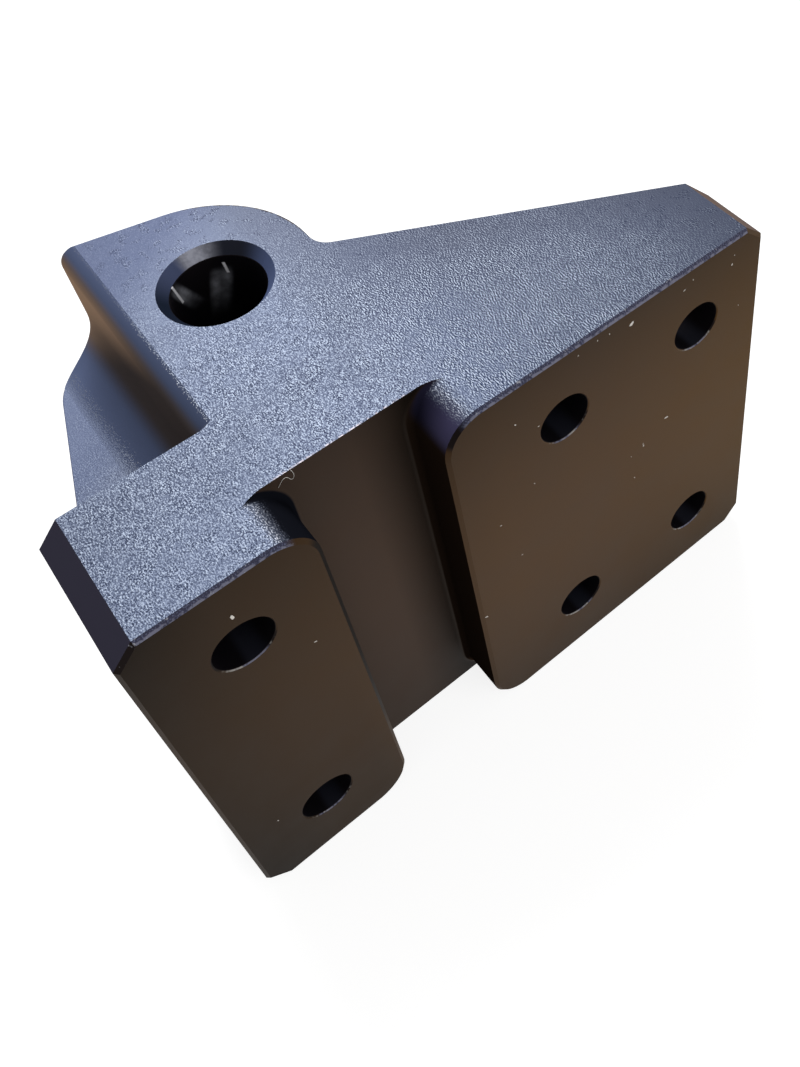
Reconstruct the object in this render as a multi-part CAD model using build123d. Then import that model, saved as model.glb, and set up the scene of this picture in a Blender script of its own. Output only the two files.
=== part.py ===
from build123d import *

import os
from math import cos, radians, sin, tan

# Pedal bracket: one block of aluminium, milled and anodised black, with two bolt pads in front
# and a bored boss behind them. All sizes are in millimetres.
# It is drawn from its front left lower corner: the pad faces lie on Y = 0 and look along -Y,
# X runs along the flange from the left pad to the right one, and the base lies on Z = 0.
# The finished block is then moved so that the middle of the bore's axis is the origin.

# Flange, the plate that carries the two pads
flange_thickness = 21.0
block_height = 77.6
corner_chamfer = 3.25  # on the four corners of the front view

# Pads and the channel between them
left_pad_width = 26.0
channel_width = 18.4
channel_depth = 8.4
channel_root_radius = 1.2
pad_corner_radius = 6.3
pad_edge_break = 0.55

# Holes for M8 screws, one column on the left pad and two on the right pad
bolt_hole_diameter = 8.4
bolt_hole_break = 0.2
left_edge_distance = 13.2
right_edge_distance = 13.1
left_to_right_pitch = 50.0  # from the left column to the inner one of the right pad
right_column_pitch = 25.0
bolt_low_row = 14.2
bolt_row_pitch = 50.0
washer_clearance_diameter = 16.4
outer_seat_thickness = 12.0  # the inner seats lie as deep as the flange's rear

# Plan outline of the web, the boss and the rib behind the flange
web_end_thickness = 11.5
web_below_bore = 3.15  # how far in front of the bore's middle the web's line meets the boss's right side
web_to_boss_radius = 3.6
boss_right_side = 50.6
boss_radius = 18.25
back_edge_slope = 13.4
rib_lean = 17.6
rib_corner_radius = 9.0
outline_break = 0.12  # on the sharp edges behind the flange

# Bore for the pedal's pivot shaft, right through the boss
bore_to_boss_side = 14.55
bore_y = 42.85
bore_diameter = 13.7
bore_mouth_diameter = 16.6
bore_mouth_depth = 1.75

# Valleys above and below the rib, which make room for the left column's screw heads
shoulder_radius = 3.1
valley_root_radius = 0.8

# Cutters reach this far past the block
overrun = 6.0
# A round that runs out on a flat face passes it by this much and so meets it in a clean edge
run_out = 0.03

# Places that follow from the sizes
left_column = left_edge_distance
inner_column = left_column + left_to_right_pitch
outer_column = inner_column + right_column_pitch
flange_length = outer_column + right_edge_distance
bore_x = boss_right_side - bore_to_boss_side
web_corner = (boss_right_side, bore_y - web_below_bore)
back_rise = tan(radians(back_edge_slope))
# The boss's round lies level with the bore, and the back edge's line touches it
boss_corner = (boss_right_side, bore_y + boss_radius / cos(radians(back_edge_slope)) - boss_radius * back_rise)
bolt_rows = (bolt_low_row, bolt_low_row + bolt_row_pitch)
washer_radius = washer_clearance_diameter / 2
valley_wall = left_column + washer_radius
right_pad_start = left_pad_width + channel_width


def back_edge_at(x):
    """Y of the boss's straight back edge, which climbs towards the left."""
    return boss_corner[1] + (boss_right_side - x) * back_rise


def far_corner():
    """Place where the lines of the back edge and of the rib's left side cross."""
    lean = tan(radians(rib_lean))
    y = (back_edge_at(0) + flange_thickness * lean * back_rise) / (1 + lean * back_rise)
    return ((y - flange_thickness) * lean, y)


def arc_point(centre, radius, angle):
    """Point of a circle at an angle in degrees."""
    return (centre[0] + radius * cos(radians(angle)), centre[1] + radius * sin(radians(angle)))


def plan_outline():
    """The block seen from above: flange, sloping web, boss and rib in one closed outline."""
    rib_corner = far_corner()
    outline = make_face(
        Polyline(
            (0, 0),
            (flange_length, 0),
            (flange_length, web_end_thickness),
            web_corner,
            boss_corner,
            rib_corner,
            (0, flange_thickness),
            close=True,
        )
    )
    rounds = ((web_corner, web_to_boss_radius), (boss_corner, boss_radius), (rib_corner, rib_corner_radius))
    for place, radius in rounds:
        corner = outline.vertices().sort_by_distance(place)[0]
        outline = fillet(corner, radius)
    return outline


def prism(low, high):
    """The outline between two heights, with its sharp rear edges broken at both ends."""
    body = Pos(0, 0, low) * extrude(plan_outline(), amount=high - low)
    ends = body.faces().filter_by(Axis.Z)
    rear_edges = [edge for edge in ends.edges() if edge.center().Y > web_end_thickness]
    rear_edges = [edge for edge in rear_edges if edge.center().X > run_out]
    return chamfer(rear_edges, outline_break)


def on_front(section, y):
    """Stand a drawing of the front view (X across, Z up) at this Y."""
    return Plane(origin=(0, y, 0), x_dir=(1, 0, 0), z_dir=(0, -1, 0)) * section


def channel_cutter():
    """The channel between the pads: it flares round the pads' corners at the top and bottom."""
    low = -run_out
    high = block_height + run_out
    middle = (left_pad_width + right_pad_start) / 2
    space = Pos(middle, block_height / 2) * Rectangle(
        channel_width + 2 * (pad_corner_radius + overrun), block_height + 2 * overrun
    )
    pad_height = high - low
    pad_centre = (low + high) / 2
    left_pad = Pos(left_pad_width - flange_length / 2, pad_centre) * Rectangle(flange_length, pad_height)
    right_pad = Pos(right_pad_start + flange_length / 2, pad_centre) * Rectangle(flange_length, pad_height)
    for pad, side in ((left_pad, left_pad_width), (right_pad, right_pad_start)):
        corners = [corner for corner in pad.vertices() if abs(corner.X - side) < run_out]
        space -= fillet(corners, pad_corner_radius)
    cutter = extrude(on_front(space, channel_depth), amount=channel_depth + overrun)
    floor = cutter.faces().sort_by(Axis.Y)[-1]
    roots = [edge for edge in floor.edges() if abs(edge.center().Z - pad_centre) < pad_height / 2 + run_out]
    reach = pad_corner_radius + overrun - run_out
    roots = [edge for edge in roots if left_pad_width - reach < edge.center().X < right_pad_start + reach]
    return fillet(roots, channel_root_radius)


def valley_cutter(row, face, outward):
    """Space beside the boss, from a screw of the left column out to one end face.

    Its section is a flat on the rib, a round about the screw, the side wall of the boss, and
    the rounded shoulder where that wall comes up to the face. outward is 1 upwards, -1 downwards.
    """
    screw = (left_column, row)
    rib_face = row - outward * washer_radius
    crest = face + outward * run_out
    shoulder = (valley_wall + shoulder_radius, crest - outward * shoulder_radius)
    far = face + outward * overrun
    left = -overrun
    right = shoulder[0] + 2 * overrun
    lines = [
        Polyline((left, far), (left, rib_face), (left_column, rib_face)),
        ThreePointArc(
            (left_column, rib_face), arc_point(screw, washer_radius, -outward * 45), (valley_wall, row)
        ),
        Line((valley_wall, row), (valley_wall, shoulder[1])),
        ThreePointArc(
            (valley_wall, shoulder[1]),
            arc_point(shoulder, shoulder_radius, 180 - outward * 45),
            (shoulder[0], crest),
        ),
        Polyline((shoulder[0], crest), (right, crest), (right, far), (left, far)),
    ]
    length = back_edge_at(0) - flange_thickness + overrun
    cutter = extrude(on_front(make_face(lines), flange_thickness), amount=-length)
    front = cutter.faces().sort_by(Axis.Y)[0]
    nose = [edge for edge in front.edges() if left < edge.center().X < right]
    nose = [edge for edge in nose if abs(edge.center().Z - far) > run_out]
    nose = [edge for edge in nose if abs(edge.center().X - left) > run_out]
    return fillet(nose, valley_root_radius)


def front_corners(body):
    """The four edges along Y at the corners of the front view."""
    corners = []
    for edge in body.edges().filter_by(Axis.Y):
        middle = edge.center()
        at_side = min(middle.X, flange_length - middle.X) < run_out
        at_end = min(middle.Z, block_height - middle.Z) < run_out
        if at_side and at_end:
            corners.append(edge)
    return corners


def bolt_holes():
    """Six through holes with broken mouths, and round seats sunk into the sloping web."""
    radius = bolt_hole_diameter / 2
    length = back_edge_at(0)
    drill = Cylinder(radius, length, align=(Align.CENTER, Align.CENTER, Align.MIN))
    mouth = Cone(radius + bolt_hole_break, radius, bolt_hole_break, align=(Align.CENTER, Align.CENTER, Align.MIN))
    sink = Cylinder(washer_radius, length, align=(Align.CENTER, Align.CENTER, Align.MIN))
    seats = {inner_column: flange_thickness, outer_column: outer_seat_thickness}
    cutters = []
    for row in bolt_rows:
        for column in (left_column, inner_column, outer_column):
            into = Plane(origin=(column, 0, row), x_dir=(1, 0, 0), z_dir=(0, 1, 0))
            cutters += [into * drill, into * mouth]
            if column in seats:
                cutters.append(into * Pos(0, 0, seats[column]) * sink)
    return cutters


def bore():
    """Through bore of the boss with a conical mouth at each end."""
    radius = bore_diameter / 2
    mouth_radius = bore_mouth_diameter / 2
    base = (Align.CENTER, Align.CENTER, Align.MIN)
    hole = Cylinder(radius, block_height, align=base)
    lower_mouth = Cone(mouth_radius, radius, bore_mouth_depth, align=base)
    upper_mouth = Cone(radius, mouth_radius, bore_mouth_depth, align=base)
    return [
        Pos(bore_x, bore_y, 0) * hole,
        Pos(bore_x, bore_y, 0) * lower_mouth,
        Pos(bore_x, bore_y, block_height - bore_mouth_depth) * upper_mouth,
    ]


def rib_edge_breaks():
    """What the break takes off the rib's upper and lower edge, as far as the foot of the valley rounds."""
    low = bolt_rows[0] + washer_radius
    high = bolt_rows[1] - washer_radius
    sharp = Pos(0, 0, low) * extrude(plan_outline(), amount=high - low)
    corner = (Align.MIN, Align.MIN, Align.MIN)
    beside = Pos(0, flange_thickness, low) * Box(left_column, back_edge_at(0), high - low, align=corner)
    return (sharp - prism(low, high)) & beside


def pad_rims(body):
    """All edges round the two pad faces."""
    pads = [face for face in body.faces().filter_by(Axis.Y) if face.center().Y < run_out]
    return [edge for pad in pads for edge in pad.edges()]


def bracket():
    """The finished block: outline, channel, valleys, broken edges, holes and bore, then its place."""
    body = prism(0, block_height)
    body -= channel_cutter()
    body -= valley_cutter(bolt_rows[1], block_height, 1)
    body -= valley_cutter(bolt_rows[0], 0, -1)
    body -= rib_edge_breaks()
    body = chamfer(front_corners(body), corner_chamfer)
    body = chamfer(pad_rims(body), pad_edge_break)
    body -= bolt_holes()
    body -= bore()
    return Pos(-bore_x, -bore_y, -block_height / 2) * body


os.makedirs("parts", exist_ok=True)
export_step(bracket(), "parts/bracket.step")
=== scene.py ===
"""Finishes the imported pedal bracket: black anodising with a blasted or satin surface, lint and a plain stage.

All lengths are metres, except where a name ends in _MM and inside the block's material. Places in
millimetres count from the flange's front left lower corner: X along the flange, Y to the rear, Z up.
"""

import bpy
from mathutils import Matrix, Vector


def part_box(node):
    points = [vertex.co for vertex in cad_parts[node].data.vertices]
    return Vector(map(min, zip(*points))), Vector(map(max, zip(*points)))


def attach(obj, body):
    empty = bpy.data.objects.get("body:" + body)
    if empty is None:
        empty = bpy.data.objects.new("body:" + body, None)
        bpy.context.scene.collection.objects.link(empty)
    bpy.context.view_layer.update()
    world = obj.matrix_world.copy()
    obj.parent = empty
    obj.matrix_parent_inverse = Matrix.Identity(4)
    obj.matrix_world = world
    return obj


bl_info = {
    "name": "Pedal bracket finish",
    "version": (1, 0, 0),
    "blender": (4, 5, 0),
    "location": "View3D > Sidebar > Bracket",
    "description": "Anodised finish, lint and stage for the packed pedal bracket",
    "category": "Object",
}

from math import radians
from types import SimpleNamespace

import bpy
from mathutils import Euler, Vector

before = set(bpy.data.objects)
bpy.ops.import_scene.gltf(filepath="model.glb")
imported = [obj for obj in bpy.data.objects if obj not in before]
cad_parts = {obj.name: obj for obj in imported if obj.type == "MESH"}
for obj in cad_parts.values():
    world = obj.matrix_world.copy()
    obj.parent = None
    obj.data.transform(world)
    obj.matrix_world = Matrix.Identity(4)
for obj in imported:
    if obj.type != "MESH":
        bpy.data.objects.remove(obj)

NODE = "bracket"
BODY = "root"
SLOT = "anodised_aluminium"
MM = 0.001
CORNER, FAR_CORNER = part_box(NODE)
LENGTH_MM, DEPTH_MM, HEIGHT_MM = ((FAR_CORNER - CORNER) / MM)[:]
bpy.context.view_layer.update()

# Camera, solved from the block's edges: the photograph's frame, the focal length and the optical centre in
# pixels, and its place and turn
PICTURE_WIDTH = 800
PICTURE_HEIGHT = 1067
CAMERA_FOCAL_PX = 1184.0
CAMERA_CENTRE_PX = (586.0, 273.5)
CAMERA_PLACE_MM = (6.639, -79.846, 196.544)
CAMERA_TURN_DEG = (43.3278, 2.3676, -40.203)
SENSOR_HEIGHT_MM = 36.0
SENSOR_WIDTH_MM = 24.0
CLIP_START = 0.01

# Lamps: the point on the block's upper face that they look at, their places from there and their squares' sides
LAMP_TARGET_MM = (LENGTH_MM * 0.4, DEPTH_MM * 0.4, HEIGHT_MM)
KEY_PLACE = (0.15, 0.38, 0.45)
KEY_SIZE = 0.40
FILL_PLACE = (0.30, -0.75, 0.35)
FILL_SIZE = 0.70
# The floor as the camera sees it: its own glow, and the grey that takes the block's shadow
FLOOR_GLOW = 0.84
FLOOR_GREY = (0.34, 0.34, 0.34)
WHITE = (1.0, 1.0, 1.0)

# Features that the finish follows, in millimetres, as the part's source has them
PAD_EDGE_BREAK_MM = 0.55
CORNER_CHAMFER_MM = 3.25
FLANGE_MM = 21.0
CHANNEL_DEPTH_MM = 8.4
BORE_RADIUS_MM = 6.85
BORE_MOUTH_RADIUS_MM = 8.3
BOLT_HOLE_RADIUS_MM = 4.2
SEAT_RADIUS_MM = 8.2
LEFT_COLUMN_MM = 13.2
RIGHT_COLUMNS_MIDDLE_MM = 75.7
RIGHT_COLUMN_PITCH_MM = 25.0
HOLE_MID_ROW_MM = 39.2
HOLE_ROW_PITCH_MM = 50.0
# The boss's round seen from above
BOSS_MIDDLE_MM = (32.35, 42.85)
BOSS_RADIUS_MM = 18.25
# Rear edge of the web seen from above: its slope, and where its line meets the left end
WEB_SLOPE = 0.5562
WEB_EDGE_MM = 67.84

# Colours of the small zones, in red, green and blue, where a tint multiplies the colour under it.
# On the end faces, where the pits and glints paint the grain's shade and highlights:
BESIDE_BORE = (0.047, 0.0615, 0.1065)
RIB_TINT = (1.04, 1.0, 0.94)
WEB_TINT = (0.91, 0.935, 1.005)
PIT = (0.008, 0.014, 0.034)
FLAT_GLINT = (0.29, 0.335, 0.41)
LEFT_ROUND_GLINT = (0.46, 0.48, 0.545)
RIGHT_ROUND_GLINT = (0.37, 0.40, 0.475)
# On the pads, in the channel and on the front corners' chamfers, with painted reflection, light and shade:
CHANNEL_TINT = (1.0, 1.12, 1.60)
# The far pad's warm tint is a painted reflection
FAR_PAD_REFLECTION_TINT = (0.98, 0.87, 0.45)
# The pads' black sides are painted shade, and their navy and brown rounds painted light
LEFT_PAD_SIDE = (0.0050, 0.0056, 0.0085)
RIGHT_PAD_SIDE = (0.016, 0.010, 0.007)
NAVY_FRONT = (0.044, 0.040, 0.085)
NAVY_REAR = (0.014, 0.013, 0.029)
LOWER_PAD_ROUND = (0.060, 0.038, 0.026)
LEFT_CHAMFER = (0.038, 0.036, 0.056)
# The right chamfer's tan is painted warm light
RIGHT_CHAMFER = (0.125, 0.092, 0.080)
# On the breaks round the pads and on other edges, with painted light, shade and highlights, and rubbed wear:
RIM = (0.034, 0.037, 0.067)
RIM_GLINT = (0.095, 0.107, 0.175)
RIM_HIGHLIGHT = (0.150, 0.155, 0.215)
RIM_SIDE_SHADE = (0.005, 0.004, 0.004)
RIM_CORNER_SHADE = (0.004, 0.003, 0.004)
RUBBED = (0.30, 0.31, 0.36)
CHANNEL_EDGE_HIGHLIGHT = (0.34, 0.31, 0.34)
HOLE_EDGE_HIGHLIGHT = (0.30, 0.29, 0.28)
BOSS_EDGE = (0.020, 0.017, 0.018)
REAR_BREAK = (0.055, 0.048, 0.045)
RIGHT_BREAK_SHADE = (0.003, 0.0025, 0.0025)
RIB_BREAK = (0.050, 0.050, 0.105)
# On the boss's wall, in the bore and its mouth, and in the screw holes: painted light, shade and reflections, and
# bright scratches in the bore:
WALL_FRONT = (0.066, 0.055, 0.055)
MOUTH_SHADE = (0.019, 0.021, 0.031)
MOUTH_RIGHT = (0.066, 0.088, 0.175)
MOUTH_REAR = (0.056, 0.070, 0.132)
MOUTH_HIGHLIGHT = (0.350, 0.358, 0.420)
MOUTH_LEFT_SHADE = (0.009, 0.013, 0.024)
HOLE_WALL = (0.004, 0.0035, 0.005)
HOLE_WALL_LIT = (0.012, 0.013, 0.020)
BORE_REFLECTION = (0.34, 0.35, 0.39)
SCRATCH = (0.75, 0.75, 0.78)

# Shine: specular level and its tint, how metallic the sides and the end faces are, and the roughness of the sides
# with what the end faces and the pads add to it
SHEEN = 0.09
# The warm tint is partly a bronze sheen of the anodising and partly a painted reflection of a brown floor
SHEEN_TINT = (1.0, 0.70, 0.46)
SIDE_METAL = 0.20
END_METAL = 0.60
ROUGHNESS = 0.42
END_ROUGHER = 0.06
PAD_ROUGHER = 0.14

# Depth of the satin in metres
SATIN_DEPTH = 0.000003
# Strength of the grain's glints, painted highlights, and of its pits, painted shade, on the calm part's islands
GLINT_STRENGTH = 0.64
ISLAND_PITS = 2.3

# Painted reflections in the bore and bright scratches: angle about the axis at the top, its change per millimetre of
# depth and half width, all in degrees, and the depths in millimetres between which the mark runs
BORE_REFLECTIONS = ((55.0, 2.2, 17.0, 4.6, 14.0), (142.0, -4.2, 13.0, 2.6, 9.5))
BORE_SCRATCHES = ((61.8, -0.75, 2.4, 3.0, 5.2), (137.0, -1.9, 2.6, 0.6, 5.9))

# Lint on the pads: across, up and the size of each fleck, in millimetres
LINT_FLECKS_MM = (
    (13.4, 70.8, 0.85),
    (75.7, 74.6, 0.80),
    (82.3, 47.2, 0.70),
    (20.8, 54.7, 0.45),
    (85.5, 74.0, 0.40),
    (50.4, 50.4, 0.35),
    (95.0, 72.6, 0.35),
    (55.1, 70.2, 0.35),
    (58.7, 66.6, 0.30),
    (53.1, 39.3, 0.30),
    (77.6, 44.2, 0.35),
    (75.6, 37.3, 0.30),
    (5.7, 18.4, 0.30),
    (56.9, 54.6, 0.25),
    (69.6, 75.8, 0.30),
    (71.7, 75.5, 0.28),
    (66.2, 75.4, 0.26),
    (87.2, 75.0, 0.24),
    (95.4, 74.2, 0.24),
    (97.0, 62.3, 0.20),
    (77.5, 44.7, 0.24),
    (75.0, 43.6, 0.22),
    (45.2, 29.9, 0.55),
)

# A fleck of size 1: its width, thickness and height, the seed and range in radians of its turn, and the scale and
# strength of its lumps
FLECK_SHAPE = (1.0, 0.35, 0.55)
FLECK_SEED = 7
FLECK_TURN = 6.28
FLECK_LUMPS = 2.6
FLECK_CRUMPLE = 2.4

# Loose fibre that curls from the channel's upper edge over its floor, in millimetres
FIBRE_MM = (
    (27.80, 8.40, 77.75),
    (27.91, 8.00, 77.51),
    (27.94, 7.85, 77.13),
    (27.82, 7.80, 76.69),
    (27.56, 7.85, 76.37),
    (27.32, 7.90, 76.61),
    (27.14, 7.95, 77.08),
    (26.89, 8.00, 77.30),
    (26.51, 8.05, 77.17),
    (26.12, 8.15, 76.63),
    (25.74, 8.35, 75.81),
)


def mm(x, y, z):
    """A place in millimetres from the flange's corner, in the frame's metres."""
    return CORNER + Vector((x, y, z)) * MM


class Sheet:
    """Adds nodes to a node tree and joins them, so that a material reads from top to bottom.

    A mask is a value from 0 to 1, and a colour is red, green and blue or a socket.
    """

    def __init__(self, tree):
        self.tree = tree
        tree.nodes.clear()

    def set_input(self, node, key, value):
        """Link a socket to this input, or give it a plain value."""
        socket = node.inputs[key]
        if isinstance(value, bpy.types.NodeSocket):
            self.tree.links.new(value, socket)
        elif socket.type == "RGBA":
            socket.default_value = (*value, 1.0)
        else:
            socket.default_value = value

    def add(self, kind, inputs=(), **settings):
        """A new node with its inputs and settings."""
        node = self.tree.nodes.new(kind)
        for name, value in settings.items():
            setattr(node, name, value)
        for key, value in dict(inputs).items():
            self.set_input(node, key, value)
        return node

    def math(self, operation, *values, clamp=False):
        """Result of a math node."""
        inputs = dict(enumerate(values))
        return self.add("ShaderNodeMath", inputs, operation=operation, use_clamp=clamp).outputs[0]

    def vector_math(self, operation, *values):
        """A vector math node, which has a vector and a value as outputs."""
        return self.add("ShaderNodeVectorMath", dict(enumerate(values)), operation=operation)

    def rise(self, value, low, high):
        """0 below low, 1 above high and smooth between; falls where high is under low."""
        inputs = {0: value, 1: low, 2: high, 3: 0.0, 4: 1.0}
        if high < low:
            inputs = {0: value, 1: high, 2: low, 3: 1.0, 4: 0.0}
        return self.add("ShaderNodeMapRange", inputs, interpolation_type="SMOOTHSTEP").outputs[0]

    def span(self, value, low, high, first, last):
        """A straight change from first to last while value goes from low to high."""
        return self.add("ShaderNodeMapRange", {0: value, 1: low, 2: high, 3: first, 4: last}).outputs[0]

    def by_mask(self, mask, first, last):
        """A straight change from first to last while a mask goes from 0 to 1."""
        return self.span(mask, 0.0, 1.0, first, last)

    def apart(self, value, middle):
        """Distance of a value from a middle."""
        return self.math("ABSOLUTE", self.math("SUBTRACT", value, middle))

    def both(self, *masks):
        """Where all the masks are, or the product of some values."""
        product = masks[0]
        for mask in masks[1:]:
            product = self.math("MULTIPLY", product, mask)
        return product

    def either(self, *masks):
        """Where any of the masks is."""
        most = masks[0]
        for mask in masks[1:]:
            most = self.math("MAXIMUM", most, mask)
        return most

    def outside(self, mask):
        """Where the mask isn't."""
        return self.math("SUBTRACT", 1.0, mask)

    def blend(self, factor, first, second):
        """Second colour over the first one by a factor."""
        node = self.add("ShaderNodeMix", data_type="RGBA")
        for index, value in ((0, factor), (6, first), (7, second)):
            self.set_input(node, index, value)
        return node.outputs[2]

    def mix_value(self, factor, first, second):
        """Second number over the first one by a factor."""
        node = self.add("ShaderNodeMix", data_type="FLOAT")
        for index, value in ((0, factor), (2, first), (3, second)):
            self.set_input(node, index, value)
        return node.outputs[0]

    def scaled(self, colour, amount):
        """Colour made lighter or darker by a factor."""
        node = self.add("ShaderNodeVectorMath", {0: colour}, operation="SCALE")
        self.set_input(node, 3, amount)
        return node.outputs[0]

    def tinted(self, colour, tint):
        """Colour, or another vector, multiplied channel by channel."""
        return self.vector_math("MULTIPLY", colour, tint).outputs[0]

    def noise(self, vector, size, detail=2.0, roughness=0.5):
        """Noise with features of this size, in the vector's unit."""
        inputs = {"Vector": vector, "Scale": 1.0 / size, "Detail": detail, "Roughness": roughness}
        return self.add("ShaderNodeTexNoise", inputs).outputs[0]


def new_group(name, inputs, outputs):
    """An empty shader node group with named sockets: (name, type, default) in and (name, type) out."""
    group = bpy.data.node_groups.new(name, "ShaderNodeTree")
    for label, kind, default in inputs:
        socket = group.interface.new_socket(label, in_out="INPUT", socket_type=kind)
        if default is not None:
            socket.default_value = default
    for label, kind in outputs:
        group.interface.new_socket(label, in_out="OUTPUT", socket_type=kind)
    sheet = Sheet(group)
    start = sheet.add("NodeGroupInput")
    end = sheet.add("NodeGroupOutput")
    return group, sheet, start.outputs, end.inputs


def place_group():
    """Object coordinates as millimetres from the flange's corner, and the surface's direction."""
    numbers = ("X", "Y", "Z", "Right", "Rear", "Up", "From Bore", "Around Bore")
    group, sheet, _, out = new_group(
        "Bracket place",
        (),
        (("Place", "NodeSocketVector"), *((name, "NodeSocketFloat") for name in numbers)),
    )
    links = group.links
    where = sheet.add("ShaderNodeTexCoord")
    from_corner = sheet.vector_math("SUBTRACT", where.outputs["Object"], CORNER[:]).outputs[0]
    place = sheet.scaled(from_corner, 1 / MM)
    links.new(place, out["Place"])
    split = sheet.add("ShaderNodeSeparateXYZ", {0: place})
    facing = sheet.add("ShaderNodeSeparateXYZ", {0: where.outputs["Normal"]})
    for index, (axis, direction) in enumerate((("X", "Right"), ("Y", "Rear"), ("Z", "Up"))):
        links.new(split.outputs[index], out[axis])
        links.new(facing.outputs[index], out[direction])
    flat = sheet.tinted(where.outputs["Object"], (1.0, 1.0, 0.0))
    length = sheet.vector_math("LENGTH", flat).outputs["Value"]
    links.new(sheet.math("DIVIDE", length, MM), out["From Bore"])
    centred = sheet.add("ShaderNodeSeparateXYZ", {0: where.outputs["Object"]})
    angle = sheet.math("ARCTAN2", centred.outputs[1], centred.outputs[0])
    links.new(sheet.math("DEGREES", angle), out["Around Bore"])
    return group


def grain_group():
    """Blasted grain: a height for the bump, and its dark pits and bright glints, which paint the grain's shade and
    highlights.

    Drawn at 0 gives round pits, at 1 pits drawn out to the rear, each with a flank of painted light.
    """
    group, sheet, given, out = new_group(
        "Blasted grain",
        (("Place", "NodeSocketVector", None), ("Size", "NodeSocketFloat", 0.2), ("Drawn", "NodeSocketFloat", 0.0)),
        (("Height", "NodeSocketFloat"), ("Pit", "NodeSocketFloat"), ("Glint", "NodeSocketFloat")),
    )
    per_size = sheet.math("DIVIDE", 1.0, given["Size"])
    stretched = sheet.scaled(given["Place"], per_size)
    even = sheet.noise(stretched, 1.0, detail=1.0, roughness=0.6)
    narrow = sheet.tinted(stretched, (0.95, 0.50, 0.95))
    beside = sheet.vector_math("ADD", narrow, (0.55, 0.0, 0.0)).outputs[0]
    flank = sheet.math("SUBTRACT", sheet.noise(narrow, 1.0, detail=1.0), sheet.noise(beside, 1.0, detail=1.0))
    flank = sheet.math("ADD", flank, 0.5)
    height = sheet.mix_value(sheet.by_mask(given["Drawn"], 0.35, 0.85), even, flank)
    group.links.new(height, out["Height"])
    group.links.new(sheet.rise(height, 0.52, 0.39), out["Pit"])
    group.links.new(sheet.rise(height, 0.51, 0.63), out["Glint"])
    return group


def wear_group():
    """Rubbed spots along an edge, from a mask of the edge."""
    group, sheet, given, out = new_group(
        "Rubbed edge",
        (("Place", "NodeSocketVector", None), ("Edge", "NodeSocketFloat", 0.0), ("Amount", "NodeSocketFloat", 0.5)),
        (("Rub", "NodeSocketFloat"),),
    )
    patches = sheet.noise(given["Place"], 2.2, detail=3.0, roughness=0.65)
    specks = sheet.noise(given["Place"], 0.35, detail=1.0)
    mixed = sheet.math("ADD", sheet.math("MULTIPLY", patches, 0.6), sheet.math("MULTIPLY", specks, 0.4))
    level = sheet.math("SUBTRACT", 0.72, sheet.math("MULTIPLY", given["Amount"], 0.25))
    over = sheet.math("MULTIPLY", sheet.math("SUBTRACT", mixed, level), 14.0, clamp=True)
    group.links.new(sheet.math("MULTIPLY", over, given["Edge"]), out["Rub"])
    return group


def hole_distance(sheet, x, z):
    """Distance from the axis of the nearest of the six screw holes, in millimetres."""
    to_row = sheet.math("SUBTRACT", sheet.apart(z, HOLE_MID_ROW_MM), HOLE_ROW_PITCH_MM / 2)
    to_right_columns = sheet.apart(sheet.apart(x, RIGHT_COLUMNS_MIDDLE_MM), RIGHT_COLUMN_PITCH_MM / 2)
    to_column = sheet.math("MINIMUM", sheet.apart(x, LEFT_COLUMN_MM), to_right_columns)
    squares = sheet.math("ADD", sheet.math("POWER", to_column, 2.0), sheet.math("MULTIPLY", to_row, to_row))
    return sheet.math("SQRT", squares)


class BracketFinish(bpy.types.PropertyGroup):
    """Colours and grain of the anodised block."""

    end_colour: bpy.props.FloatVectorProperty(
        name="End faces", description="Anodising on the blasted upper and lower faces", subtype="COLOR",
        size=3, min=0, max=1, default=(0.078, 0.096, 0.143),
    )
    side_colour: bpy.props.FloatVectorProperty(
        name="Sides", description="Anodising on the milled sides and the rear", subtype="COLOR",
        size=3, min=0, max=1, default=(0.035, 0.041, 0.068),
    )
    pad_colour: bpy.props.FloatVectorProperty(
        name="Pads", description="Anodising on the two pads and the channel", subtype="COLOR",
        size=3, min=0, max=1, default=(0.030, 0.017, 0.0086),
    )
    valley_colour: bpy.props.FloatVectorProperty(
        name="Valleys", description="Anodising on the rounds of the valleys beside the boss", subtype="COLOR",
        size=3, min=0, max=1, default=(0.058, 0.074, 0.132),
    )
    # The boss wall's tan is a painted warm reflection
    wall_colour: bpy.props.FloatVectorProperty(
        name="Boss wall", description="Anodising on the boss's left wall, where the dye took warmer", subtype="COLOR",
        size=3, min=0, max=1, default=(0.390, 0.267, 0.190),
    )
    grain_size: bpy.props.FloatProperty(
        name="Grain size", description="Width of a blasted pit", unit="LENGTH", min=0, default=0.00019,
    )
    grain_depth: bpy.props.FloatProperty(
        name="Grain depth", description="Depth of a blasted pit", unit="LENGTH", min=0, default=0.00005,
    )
    edge_rub: bpy.props.FloatProperty(
        name="Edge rub", description="How much of the pads' edges is rubbed bright", subtype="FACTOR",
        min=0, max=1, default=0.56,
    )


class BracketLint(bpy.types.PropertyGroup):
    """Loose dust on the block."""

    lint_colour: bpy.props.FloatVectorProperty(
        name="Lint", description="Colour of the flecks and the fibre", subtype="COLOR",
        size=3, min=0, max=1, default=(0.80, 0.78, 0.74),
    )
    fibre_thickness: bpy.props.FloatProperty(
        name="Fibre", description="Thickness of the loose fibre", unit="LENGTH", min=0, default=0.00005,
    )


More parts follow.
